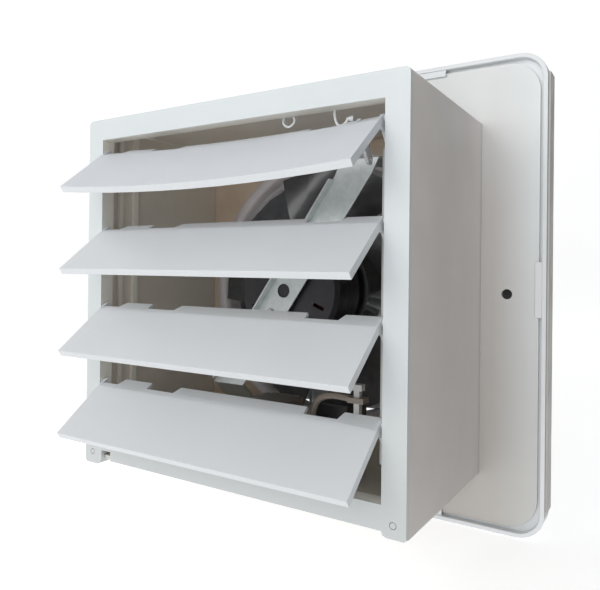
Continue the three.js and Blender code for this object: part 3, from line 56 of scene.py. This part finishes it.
# ---- Where tones change, mostly as pairs: one tone before the first place, the other past the second ----
PLATE_SHADOW_X = (0.131, 0.156)  # painted shadow of the duct on the plate, fading out outwards from the duct
PLATE_SHADOW_Z = (0.06, 0.14)  # and the painted shadow thins out upwards
PLATE_SHADOW_TOP = 0.25  # share of the painted shadow that is left at the top
OFF_PLATE_Y = (PLATE_Y + 0.0005, PLATE_Y + 0.005)
SHADED_WALL_X = (-DUCT_INNER - 0.002, -DUCT_INNER + 0.002)  # the wall on the -X side, which carries painted shade
SHADED_WALL_Y = (PLATE_Y, FACE_Y - 0.05)  # its painted shade grows darker along this stretch, away from the plate
WARM_LIGHT_Y = (FACE_Y - 0.016, FACE_Y - 0.01)  # the painted warm light within the duct ends here
LOW_DARKENING_Z = (-0.13, 0.05)  # outside, darker towards the bottom, fading out upwards
FRAME_LOW_DARKENING_Z = (-0.125, 0.02)
TOP_LOUVRE_Z = (0.03, 0.07)  # the top louvre carries painted shade: darker and bluer
TIP_FACING = (0.6, 0.8)  # by how much a louvre's face points the way its tip edge does; the tip edges carry painted shade
BELL_R = (0.1135, 0.1165)  # from the mauve-grey bell to the brown-beige flat round it
GUIDE_X = (0.116, 0.119)  # only the guide ribs' inner faces lie between these
LUG_SLOT_Z = 0.117  # the slot beside the lug is farther than this from the axis


# ---- Shader helpers ----
class Shader:
    """A Principled material, with short calls for the nodes that feed it."""

    def __init__(self, name, **values):
        self.material = bpy.data.materials.new(name)
        self.material.use_nodes = True
        self.tree = self.material.node_tree
        self.surface = self.tree.nodes["Principled BSDF"]
        self.coordinates = self.add("ShaderNodeTexCoord")
        self.place = self.coordinates.outputs["Object"]
        for key, value in values.items():
            self.surface.inputs[key.replace("_", " ")].default_value = value

    def add(self, kind, **settings):
        node = self.tree.nodes.new(kind)
        for key, value in settings.items():
            setattr(node, key, value)
        return node

    def link(self, out, into):
        self.tree.links.new(out, into)

    # Patterns
    def noise(self, scale, detail=4.0, rough=0.5, stretch=None):
        node = self.add("ShaderNodeTexNoise")
        node.inputs["Scale"].default_value = scale
        node.inputs["Detail"].default_value = detail
        node.inputs["Roughness"].default_value = rough
        place = self.place
        if stretch:
            mapping = self.add("ShaderNodeMapping")
            mapping.inputs["Scale"].default_value = stretch
            self.link(place, mapping.inputs["Vector"])
            place = mapping.outputs["Vector"]
        self.link(place, node.inputs["Vector"])
        return node.outputs["Fac"]

    def cells(self, scale):
        node = self.add("ShaderNodeTexVoronoi", feature="F1")
        node.inputs["Scale"].default_value = scale
        self.link(self.place, node.inputs["Vector"])
        return node

    def waves(self, scale, distortion=0.0, **settings):
        node = self.add("ShaderNodeTexWave", **settings)
        node.inputs["Scale"].default_value = scale
        node.inputs["Distortion"].default_value = distortion
        self.link(self.place, node.inputs["Vector"])
        return node.outputs["Fac"]

    # Places
    def axis(self, letter):
        node = self.add("ShaderNodeSeparateXYZ")
        self.link(self.place, node.inputs["Vector"])
        return node.outputs[letter]

    def off_axis(self, letter):
        """Distance from the fan's axis along X or Z, on either side."""
        return self.calc("ABSOLUTE", self.axis(letter))

    def calc(self, operation, first, second=0.0):
        node = self.add("ShaderNodeMath", operation=operation)
        for value, socket in ((first, node.inputs[0]), (second, node.inputs[1])):
            if isinstance(value, (int, float)):
                socket.default_value = value
            else:
                self.link(value, socket)
        return node.outputs["Value"]

    def less(self, value, limit):
        return self.calc("LESS_THAN", value, limit)

    def more(self, value, limit):
        return self.calc("GREATER_THAN", value, limit)

    def both(self, first, second):
        return self.calc("MULTIPLY", first, second)

    def span(self, fac, low, high, over=(0.0, 1.0)):
        """Runs from low to high while fac runs through the pair over."""
        node = self.add("ShaderNodeMapRange")
        node.inputs["From Min"].default_value = over[0]
        node.inputs["From Max"].default_value = over[1]
        node.inputs["To Min"].default_value = low
        node.inputs["To Max"].default_value = high
        self.link(fac, node.inputs["Value"])
        return node.outputs["Result"]

    # Colours
    def tones(self, fac, first, second, over=(0.3, 0.7)):
        """Blends from the first colour to the second while fac runs through the pair over."""
        node = self.add("ShaderNodeValToRGB")
        for element, place, colour in zip(node.color_ramp.elements, over, (first, second)):
            element.position = place
            element.color = (*colour, 1.0)
        self.link(fac, node.inputs["Fac"])
        return node.outputs["Color"]

    def mix(self, fac, first, second):
        node = self.add("ShaderNodeMix", data_type="RGBA")
        self.link(fac, node.inputs["Factor"])
        for value, socket in ((first, node.inputs["A"]), (second, node.inputs["B"])):
            if isinstance(value, tuple):
                socket.default_value = (*value, 1.0)
            else:
                self.link(value, socket)
        return node.outputs["Result"]

    # The surface's own sockets
    def paint(self, colour):
        self.link(colour, self.surface.inputs["Base Color"])

    def painted(self):
        return self.surface.inputs["Base Color"].links[0].from_socket

    def rough(self, value):
        self.link(value, self.surface.inputs["Roughness"])

    def satin(self, scale, low, high, detail=3.0):
        """Roughness that drifts between low and high."""
        self.rough(self.span(self.noise(scale, detail), low, high, over=(0.3, 0.7)))

    def bump(self, height, strength, distance=0.0001, onto=None):
        node = self.add("ShaderNodeBump")
        node.inputs["Strength"].default_value = strength
        node.inputs["Distance"].default_value = distance
        self.link(height, node.inputs["Height"])
        if onto:
            self.link(onto, node.inputs["Normal"])
        self.link(node.outputs["Normal"], self.surface.inputs["Normal"])
        return node.outputs["Normal"]


# ---- Plastics ----
def moulded(name, light, dark, gloss=(0.34, 0.48)):
    """Injection-moulded plastic: cloudy tone, fine grain and the slow ripple of a thin wall."""
    s = Shader(name, Specular_IOR_Level=0.5, IOR=1.46)
    speck = tuple(c * 0.8 for c in dark)
    tone = s.tones(s.noise(9.0, 5.0, 0.55), dark, light)
    s.paint(s.mix(s.span(s.noise(900.0, 2.0), 0.0, 0.05), tone, speck))
    s.satin(40.0, *gloss)
    ripple = s.bump(s.noise(14.0, 2.0), 0.25, 0.0006)
    s.bump(s.noise(1400.0, 2.0), 0.12, 0.00008, onto=ripple)
    return s


def plate_tone(s, cloud):
    """The plate's plain plastic, with a painted shadow of the duct beside it."""
    # painted shadow of the duct: a darker tone beside it, strongest low down
    painted_shade = s.tones(cloud, (0.60, 0.57, 0.545), (0.65, 0.62, 0.595))
    beside = s.span(s.off_axis("X"), 1.0, 0.0, over=PLATE_SHADOW_X)
    low = s.span(s.axis("Z"), 1.0, PLATE_SHADOW_TOP, over=PLATE_SHADOW_Z)
    return s.mix(s.both(beside, low), s.painted(), painted_shade)


def wall_tone(s, cloud):
    """The duct's outer walls: warm painted shade on the -X side, lighter towards the plate and darker away
    from it; plain on the others.
    """
    near = s.tones(cloud, (0.84, 0.785, 0.765), (0.89, 0.835, 0.815))
    far = s.tones(cloud, (0.70, 0.655, 0.62), (0.76, 0.715, 0.68))
    # painted shade on the -X wall, lighter by the plate
    warm = s.mix(s.span(s.axis("Y"), 0.0, 1.0, over=SHADED_WALL_Y), near, far)
    plain = s.tones(cloud, (0.72, 0.72, 0.705), (0.77, 0.77, 0.755))
    return s.mix(s.span(s.axis("X"), 1.0, 0.0, over=SHADED_WALL_X), plain, warm)


def inside_tone(s):
    """Painted warm light on the shaded faces inside the duct, lighter still on the guide ribs."""
    # painted warm light on the shaded inner faces
    dust_and_warm_light = s.tones(s.noise(22.0, 6.0, 0.6), (0.71, 0.65, 0.565), (0.79, 0.74, 0.66), over=(0.3, 0.75))
    reach = s.off_axis("X")
    # the guide ribs' inner faces get a lighter tone: painted light where light catches them
    ribs = s.both(s.less(reach, GUIDE_X[1]), s.more(reach, GUIDE_X[0]))
    return s.mix(ribs, dust_and_warm_light, (0.90, 0.86, 0.77))


def body_plastic():
    """The duct and plate: painted shade beside the duct and on its -X wall, darker towards the bottom
    outside, and painted warm light within.
    """
    s = moulded("body_white", light=(0.79, 0.815, 0.815), dark=(0.755, 0.775, 0.775))
    cloud = s.noise(12.0, 5.0, 0.55)
    off_plate = s.span(s.axis("Y"), 0.0, 1.0, over=OFF_PLATE_Y)
    # the plate and outer walls, with their painted shade
    shaded_tone = s.mix(off_plate, plate_tone(s, cloud), wall_tone(s, cloud))
    # outside, darker towards the bottom
    low_darkening = s.both(s.span(s.axis("Z"), 0.68, 0.0, over=LOW_DARKENING_Z), 0.8)
    outer = s.mix(low_darkening, shaded_tone, (0.46, 0.435, 0.405))
    bore = DUCT_INNER + SKIN
    within = s.both(s.less(s.off_axis("X"), bore), s.less(s.off_axis("Z"), bore))
    behind = s.span(s.axis("Y"), 1.0, 0.0, over=WARM_LIGHT_Y)
    # painted warm light within the duct
    s.paint(s.mix(s.both(within, behind), outer, inside_tone(s)))
    return s.material


def frame_plastic():
    """The louvre frame: white outside and darker towards the bottom, with painted warm light in cream on
    the faces that the air passes.
    """
    s = moulded("frame_white", light=(0.64, 0.675, 0.685), dark=(0.605, 0.64, 0.65))
    # outside, darker towards the bottom
    outer = s.mix(s.span(s.axis("Z"), 0.7, 0.0, over=FRAME_LOW_DARKENING_Z), s.painted(), (0.50, 0.515, 0.515))
    # painted warm light in cream on the inner faces
    cream = s.tones(s.noise(22.0, 6.0, 0.6), (0.84, 0.80, 0.72), (0.90, 0.87, 0.80), over=(0.3, 0.75))
    between = s.both(s.less(s.off_axis("X"), OPENING_HALF + SKIN), s.less(s.off_axis("Z"), LUG_SLOT_Z))
    inner = s.both(between, s.less(s.axis("Y"), FACE_Y - SKIN))
    s.paint(s.mix(inner, outer, cream))
    return s.material


def louvre_plastic():
    """The louvres: cool white, with painted shade on the tip edges, told by the way they face at rest."""
    s = moulded("louvre_white", light=(0.745, 0.765, 0.785), dark=(0.715, 0.735, 0.755), gloss=(0.3, 0.42))
    facing = s.add("ShaderNodeVectorMath", operation="DOT_PRODUCT")
    s.link(s.coordinates.outputs["Normal"], facing.inputs[0])
    facing.inputs[1].default_value = (0.0, math.sin(OPENING), -math.cos(OPENING))
    edge = s.span(facing.outputs["Value"], 0.0, 1.0, over=TIP_FACING)
    # painted shade on the top louvre, darker and bluer
    top = s.span(s.axis("Z"), 0.0, 1.0, over=TOP_LOUVRE_Z)
    face = s.mix(top, s.painted(), (0.675, 0.697, 0.735))
    # painted shade on the tip edges
    s.paint(s.mix(edge, face, (0.62, 0.64, 0.655)))
    return s.material


def cover_plastic():
    """The front cover: white, with painted shade on the sides where the raised bands run."""
    s = moulded("cover_white", light=(0.80, 0.82, 0.835), dark=(0.765, 0.785, 0.80))
    # painted shade on the side bands
    painted_shade = s.tones(s.noise(30.0, 5.0), (0.46, 0.45, 0.425), (0.53, 0.52, 0.495))
    bands = s.more(s.off_axis("X"), COVER_SIDE - 0.0002)
    s.paint(s.mix(bands, s.painted(), painted_shade))
    return s.material


def rubber():
    """The cable bush."""
    s = Shader("black_rubber")
    s.paint(s.tones(s.noise(150.0), (0.02, 0.02, 0.021), (0.04, 0.04, 0.041)))
    s.satin(200.0, 0.65, 0.85)
    s.bump(s.noise(1200.0, 2.0), 0.25)
    return s.material


# ---- Metals and enamels ----
def galvanised():
    """Zinc-coated strip with faint spangle and drawn streaks."""
    s = Shader("galvanised", Metallic=0.9)
    spangle = s.cells(320.0)
    tone = s.tones(spangle.outputs["Color"], (0.58, 0.62, 0.62), (0.65, 0.69, 0.69), over=(0.2, 0.8))
    streak = s.noise(60.0, 4.0, 0.6, stretch=(1.0, 1.0, 6.0))
    s.paint(s.mix(s.span(streak, 0.0, 0.3), tone, (0.46, 0.48, 0.46)))
    s.rough(s.span(spangle.outputs["Distance"], 0.3, 0.4, over=(0.0, 0.6)))
    s.bump(s.noise(420.0, 3.0), 0.12)
    return s.material


def coated_steel():
    """Pressed orifice plate: a brown-beige flat round a mauve-grey bell and throat."""
    s = Shader("coated_steel", Metallic=0.15)
    squares = s.calc("ADD", s.calc("POWER", s.axis("X"), 2.0), s.calc("POWER", s.axis("Z"), 2.0))
    radius = s.calc("SQRT", squares)
    flat = s.tones(s.noise(30.0, 6.0, 0.6), (0.60, 0.475, 0.36), (0.70, 0.575, 0.46))
    bell = s.tones(s.noise(24.0, 6.0, 0.6), (0.56, 0.52, 0.52), (0.66, 0.615, 0.62))
    s.paint(s.mix(s.span(radius, 0.0, 1.0, over=BELL_R), bell, flat))
    s.satin(80.0, 0.28, 0.44, detail=4.0)
    s.bump(s.noise(700.0, 2.0), 0.1)
    return s.material


def brown_coat():
    """The actuator's bracket under the same brown-grey dust."""
    s = Shader("brown_coat", Metallic=0.2)
    s.paint(s.tones(s.noise(40.0, 6.0, 0.6), (0.17, 0.145, 0.12), (0.24, 0.21, 0.18)))
    s.satin(90.0, 0.4, 0.6, detail=4.0)
    s.bump(s.noise(600.0, 2.0), 0.15)
    return s.material


def dark_gloss():
    """Dark grey glossy blades with fine flow lines and dust."""
    s = Shader("blade_gloss", Coat_Weight=0.4, Coat_Roughness=0.1)
    dust_and_warm_light = s.noise(35.0, 6.0, 0.65)
    s.paint(s.tones(dust_and_warm_light, (0.058, 0.058, 0.062), (0.10, 0.10, 0.105), over=(0.35, 0.8)))
    s.rough(s.span(dust_and_warm_light, 0.12, 0.3, over=(0.3, 0.8)))
    s.bump(s.noise(500.0, 2.0), 0.06)
    return s.material


def motor_black():
    """Satin black enamel with an orange-peel skin."""
    s = Shader("motor_black")
    s.paint(s.tones(s.noise(60.0, 5.0, 0.6), (0.014, 0.012, 0.016), (0.035, 0.032, 0.038), over=(0.3, 0.8)))
    s.satin(90.0, 0.32, 0.5)
    s.bump(s.noise(600.0, 2.0), 0.2)
    return s.material


def bright_steel():
    """Plated screws and turned shaft."""
    s = Shader("bright_steel", Metallic=1.0)
    s.paint(s.tones(s.noise(300.0, 3.0), (0.42, 0.42, 0.41), (0.62, 0.62, 0.60)))
    s.satin(200.0, 0.2, 0.36)
    s.bump(s.noise(900.0, 2.0), 0.08, 0.00006)
    return s.material


def lamination():
    """Stacked sheets, seen as fine lines along the axis."""
    s = Shader("lamination", Metallic=0.8)
    sheets = s.waves(320.0, bands_direction="Y")
    s.paint(s.tones(sheets, (0.10, 0.105, 0.11), (0.24, 0.25, 0.26), over=(0.2, 0.8)))
    s.satin(120.0, 0.4, 0.55)
    s.bump(sheets, 0.3, 0.0002)
    return s.material


def copper():
    """Enamelled wire lying in turns."""
    s = Shader("copper_wire", Metallic=0.8)
    turns = s.waves(400.0, distortion=1.5, wave_type="RINGS", rings_direction="Y")
    s.paint(s.tones(turns, (0.045, 0.017, 0.01), (0.10, 0.04, 0.02), over=(0.2, 0.8)))
    s.satin(150.0, 0.25, 0.4)
    s.bump(turns, 0.5, 0.0003)
    return s.material


# ---- What each node wears: its material, and the width in millimetres of its softened edges ----
WHITE = moulded("plain_white", light=(0.735, 0.75, 0.765), dark=(0.70, 0.715, 0.73)).material
GREY = moulded("link_grey", light=(0.50, 0.50, 0.49), dark=(0.44, 0.44, 0.43)).material
BEIGE = moulded("arm_beige", light=(0.22, 0.185, 0.155), dark=(0.17, 0.145, 0.12)).material
BROWN = moulded("actuator_brown", light=(0.17, 0.145, 0.125), dark=(0.13, 0.11, 0.095)).material
BLACK = moulded("black_moulding", light=(0.03, 0.028, 0.03), dark=(0.02, 0.018, 0.02)).material
BODY = body_plastic()
FRAME = frame_plastic()
LOUVRE = louvre_plastic()
COVER = cover_plastic()
RUBBER = rubber()
ZINC = galvanised()
COAT = coated_steel()
BROWN_COAT = brown_coat()
BLADES = dark_gloss()
MOTOR = motor_black()
STEEL = bright_steel()
SHEETS = lamination()
COPPER = copper()

SCREW = (STEEL, 0.25)  # for every node that the list leaves out
DRESS = {
    "body_frame": (BODY, 0.5),
    "shutter_frame": (FRAME, 0.45),
    "frame_screw_1": (FRAME, 0.2),
    "frame_screw_2": (FRAME, 0.2),
    "front_cover": (COVER, 0.6),
    "front_grille": (WHITE, 0.4),
    "wiring_box": (WHITE, 0.4),
    "wiring_lid": (WHITE, 0.4),
    "louvre_1": (LOUVRE, 0.3),
    "louvre_2": (LOUVRE, 0.3),
    "louvre_3": (LOUVRE, 0.3),
    "louvre_4": (LOUVRE, 0.3),
    "link_rod": (GREY, 0.4),
    "drive_stem": (GREY, 0.4),
    "link_arm": (BEIGE, 0.3),
    "actuator_crank": (ZINC, 0.25),
    "actuator_body": (BROWN, 0.8),
    "actuator_bracket": (BROWN_COAT, 0.2),
    "orifice_plate": (COAT, 0.4),
    "impeller": (BLADES, 0.3),
    "impeller_nut": (BLACK, 0.3),
    "motor_shaft": (STEEL, 0.3),
    "rotor_core": (SHEETS, 0.2),
    "motor_front_shell": (MOTOR, 0.4),
    "motor_rear_shell": (MOTOR, 0.4),
    "stator_core": (SHEETS, 0.2),
    "winding_front": (COPPER, 0.4),
    "winding_rear": (COPPER, 0.4),
    "front_bearing": (STEEL, 0.2),
    "rear_bearing": (STEEL, 0.2),
    "motor_strap": (ZINC, 0.25),
    "cable_grommet": (RUBBER, 0.3),
    "run_capacitor": (BLACK, 1.2),
    "hook_loop": (WHITE, 0.2),
    "hook_clip": (WHITE, 0.2),
}

WELD_DISTANCE = 0.00001
FLAT_ANGLE = math.radians(0.6)  # faces that turn less are one flat
EDGE_ANGLE = math.radians(32)  # edges that turn more are softened
BEVEL_SEGMENTS = 2
NORMAL_WEIGHT = 60


def soften(obj, width_mm):
    """Rounds the hard edges of a CAD solid and shades its flats flat and its curves smooth."""
    weld = obj.modifiers.new("weld", "WELD")
    weld.merge_threshold = WELD_DISTANCE
    flats = obj.modifiers.new("flats", "DECIMATE")
    flats.decimate_type = "DISSOLVE"
    flats.angle_limit = FLAT_ANGLE
    bevel = obj.modifiers.new("bevel", "BEVEL")
    bevel.width = width_mm / 1000
    bevel.segments = BEVEL_SEGMENTS
    bevel.limit_method = "ANGLE"
    bevel.angle_limit = EDGE_ANGLE
    bevel.use_clamp_overlap = True
    normals = obj.modifiers.new("normals", "WEIGHTED_NORMAL")
    normals.weight = NORMAL_WEIGHT
    normals.keep_sharp = False
    for polygon in obj.data.polygons:
        polygon.use_smooth = True


def dress():
    for name, obj in nodes.items():
        material, width_mm = DRESS.get(name, SCREW)
        obj.data.materials.clear()
        obj.data.materials.append(material)
        soften(obj, width_mm)


# ---- Camera, at the photograph's place ----
CAMERA_BACK = 0.30876  # out from the louvre frame's face
CAMERA_SIDE = 0.23692  # to the photograph's right of the fan's axis
CAMERA_UP = 0.01534
CAMERA_YAW = math.radians(33.318)
CAMERA_PITCH = math.radians(-0.32)
CAMERA_ROLL = math.radians(0.666)
SENSOR = 36.0
FOCAL_SHARE = 619.15 / 600  # focal length over the picture's width
CENTRE_SHIFT = (0.0565, -0.0484)


def make_camera():
    data = bpy.data.cameras.new("camera")
    data.sensor_width = SENSOR
    data.lens = SENSOR * FOCAL_SHARE
    data.shift_x, data.shift_y = CENTRE_SHIFT
    data.clip_start = 0.01
    camera = bpy.data.objects.new("camera", data)
    bpy.context.scene.collection.objects.link(camera)
    yaw, pitch, roll = CAMERA_YAW, CAMERA_PITCH, CAMERA_ROLL
    forward = Vector(
        (math.sin(yaw) * math.cos(pitch), -math.cos(yaw) * math.cos(pitch), -math.sin(pitch))
    )
    level = Vector((-math.cos(yaw), -math.sin(yaw), 0.0))
    above = level.cross(forward)
    right = level * math.cos(roll) + above * math.sin(roll)
    up = above * math.cos(roll) - level * math.sin(roll)
    turn = Matrix((right, up, -forward)).transposed()
    place = Matrix.Translation((-CAMERA_SIDE, FACE_Y + CAMERA_BACK, CAMERA_UP))
    camera.matrix_world = place @ turn.to_4x4()
    bpy.context.scene.camera = camera


# ---- Stage ----
SWEEP_CENTRE = Vector((0.0, 0.06, FLOOR_Z))
SWEEP_FRONT = -3.0
SWEEP_BEND_START = 1.2
SWEEP_BEND = 0.9  # radius of the bend from floor to backdrop
SWEEP_STEPS = 12
SWEEP_TOP = 3.6
SWEEP_HALF_WIDTH = 4.0
CARD_TOP = 0.25
CARDS = (("card_duct", -0.42, 0.01, 0.34), ("card_cover", -0.3, -0.2, -0.004))  # name, x, near y, far y


def add_surface(name, corners, faces, material):
    """A stage mesh: not part of the object."""
    mesh = bpy.data.meshes.new(name)
    mesh.from_pydata(corners, [], faces)
    mesh.materials.append(material)
    surface = bpy.data.objects.new(name, mesh)
    bpy.context.scene.collection.objects.link(surface)
    return surface


def sweep_paper():
    glow = {"Emission_Color": (1, 1, 1, 1), "Emission_Strength": 0.66}
    s = Shader("sweep_paper", Roughness=0.9, Specular_IOR_Level=0.1, **glow)
    s.paint(s.tones(s.noise(3.0, 2.0), (0.58, 0.58, 0.58), (0.62, 0.62, 0.62)))
    return s.material


def make_stage():
    """A pale seamless sweep under and behind the part, square to the camera."""
    away = Vector((math.sin(CAMERA_YAW), -math.cos(CAMERA_YAW), 0.0))
    side = Vector((-away.y, away.x, 0.0))
    profile = [(SWEEP_FRONT, 0.0), (SWEEP_BEND_START, 0.0)]
    for i in range(1, SWEEP_STEPS + 1):
        angle = math.pi / 2 * i / SWEEP_STEPS
        run = SWEEP_BEND_START + SWEEP_BEND * math.sin(angle)
        profile.append((run, SWEEP_BEND * (1 - math.cos(angle))))
    profile.append((SWEEP_BEND_START + SWEEP_BEND, SWEEP_TOP))
    corners = []
    for across in (-SWEEP_HALF_WIDTH, SWEEP_HALF_WIDTH):
        for run, rise in profile:
            corners.append(tuple(SWEEP_CENTRE + away * run + side * across + Vector((0, 0, rise))))
    count = len(profile)
    faces = [(i, i + 1, count + i + 1, count + i) for i in range(count - 1)]
    sweep = add_surface("sweep", corners, faces, sweep_paper())
    for polygon in sweep.data.polygons:
        polygon.use_smooth = True


def card_black():
    s = Shader("card_black", Roughness=0.9, Specular_IOR_Level=0.1)
    s.paint(s.tones(s.noise(20.0, 2.0), (0.03, 0.03, 0.03), (0.05, 0.05, 0.05)))
    return s.material


def make_cards():
    """Dark cards beyond the picture's right edge, which keep the near sides of duct and cover in shade."""
    material = card_black()
    for name, x, near, far in CARDS:
        corners = [(x, near, FLOOR_Z), (x, far, FLOOR_Z), (x, far, CARD_TOP), (x, near, CARD_TOP)]
        card = add_surface(name, corners, [(0, 1, 2, 3)], material)
        card.visible_camera = False


# ---- Light ----
LIT_POINT = Vector((0.0, 0.08, 0.0))


def area_light(name, at, size, power, colour=(1, 1, 1)):
    data = bpy.data.lights.new(name, "AREA")
    data.shape = "RECTANGLE"
    data.size, data.size_y = size
    data.energy = power
    data.color = colour
    light = bpy.data.objects.new(name, data)
    bpy.context.scene.collection.objects.link(light)
    light.location = at
    light.rotation_mode = "QUATERNION"
    light.rotation_quaternion = (LIT_POINT - Vector(at)).to_track_quat("-Z", "Y")


def make_lights():
    area_light("key", at=(0.7, 1.5, 0.6), size=(1.1, 1.1), power=7.5, colour=(1.0, 0.985, 0.96))
    area_light("front_fill", at=(-0.2, 1.6, 0.45), size=(1.3, 1.0), power=10.0, colour=(0.96, 0.985, 1.0))
    area_light("top", at=(0.1, 0.1, 1.5), size=(1.4, 1.4), power=1.8)
    world = bpy.data.worlds.new("studio")
    bpy.context.scene.world = world
    world.use_nodes = True
    background = world.node_tree.nodes["Background"]
    background.inputs["Color"].default_value = (0.97, 0.985, 1.0, 1.0)
    background.inputs["Strength"].default_value = 0.28
    bpy.context.scene.view_settings.view_transform = "Standard"


make_camera()
make_lights()
make_stage()
make_cards()
dress()
